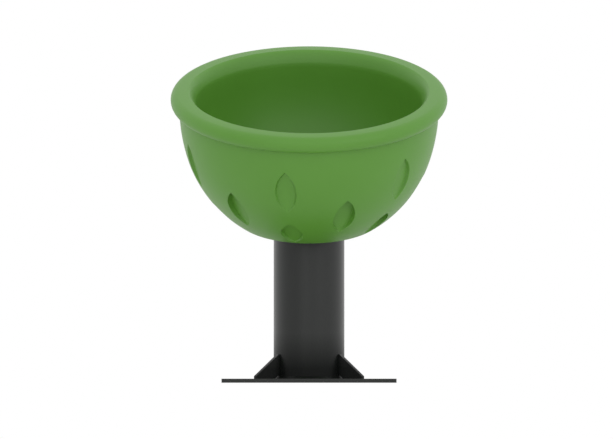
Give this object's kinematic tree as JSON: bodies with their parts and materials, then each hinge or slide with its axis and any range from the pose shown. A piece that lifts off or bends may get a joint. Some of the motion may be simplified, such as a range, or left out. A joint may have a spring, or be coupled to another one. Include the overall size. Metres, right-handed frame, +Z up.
{
  "type": "playground spinner bowl",
  "caption": "Round moulded seat bowl with a rolled rim and hand holds, spinning on a leaning axis at the head of a short steel post with gussets and a square base plate.",
  "frame": {"origin": "centre of the base plate's underside, at the centre of the anchor pattern", "axes": "+Z up along the post; the bowl leans towards -Y; +X to the right when seen from -Y"},
  "size_m": [0.5468, 0.5238, 0.6647],
  "materials": {
    "coated_steel": "dark grey powder coat",
    "machined_steel": "turned",
    "bearing_steel": "ground",
    "ball_chrome": "polished",
    "cage_brass": "machined",
    "seal_rubber": "matt",
    "bowl_plastic": "moulded, satin",
    "cap_plastic": "moulded, satin",
    "stainless": "bright",
    "plug_rubber": "matt"
  },
  "bodies": {
    "stand": {"base_plate": "coated_steel", "post_tube": "coated_steel", "post_weld": "coated_steel", "gusset_left": "coated_steel", "gusset_right": "coated_steel", "gusset_rear": "coated_steel", "head_plate": "coated_steel", "bearing_housing": "machined_steel", "dust_seal": "seal_rubber", "upper_outer_ring": "bearing_steel", "lower_outer_ring": "bearing_steel"},
    "bowl": {"spindle": "machined_steel", "spindle_flange": "machined_steel", "bearing_spacer": "machined_steel", "upper_inner_ring": "bearing_steel", "lower_inner_ring": "bearing_steel", "lock_washer": "machined_steel", "lock_nut": "machined_steel", "bowl_shell": "bowl_plastic", "clamp_ring": "stainless", "bolt_washers": "stainless", "bowl_bolts": "stainless", "centre_cap": "cap_plastic", "cap_screw": "stainless", "drain_bushes": "cap_plastic", "vent_plug": "plug_rubber"},
    "upper_set": {"upper_cage": "cage_brass", "upper_balls": "ball_chrome"},
    "lower_set": {"lower_cage": "cage_brass", "lower_balls": "ball_chrome"}
  },
  "joints": [
    {"name": "bowl_spin", "type": "hinge", "parent": "stand", "child": "bowl", "pos_m": [0, 0, 0.323], "axis": [0, -0.3461, 0.9382], "continuous": true},
    {"name": "upper_roll", "type": "hinge", "parent": "stand", "child": "upper_set", "pos_m": [0, 0, 0.323], "axis": [0, -0.3461, 0.9382], "continuous": true},
    {"name": "lower_roll", "type": "hinge", "parent": "stand", "child": "lower_set", "pos_m": [0, 0, 0.323], "axis": [0, -0.3461, 0.9382], "continuous": true}
  ],
  "couplings": [
    {"joint": "upper_roll", "follows": "bowl_spin", "ratio": 0.3967},
    {"joint": "lower_roll", "follows": "bowl_spin", "ratio": 0.3967}
  ]
}
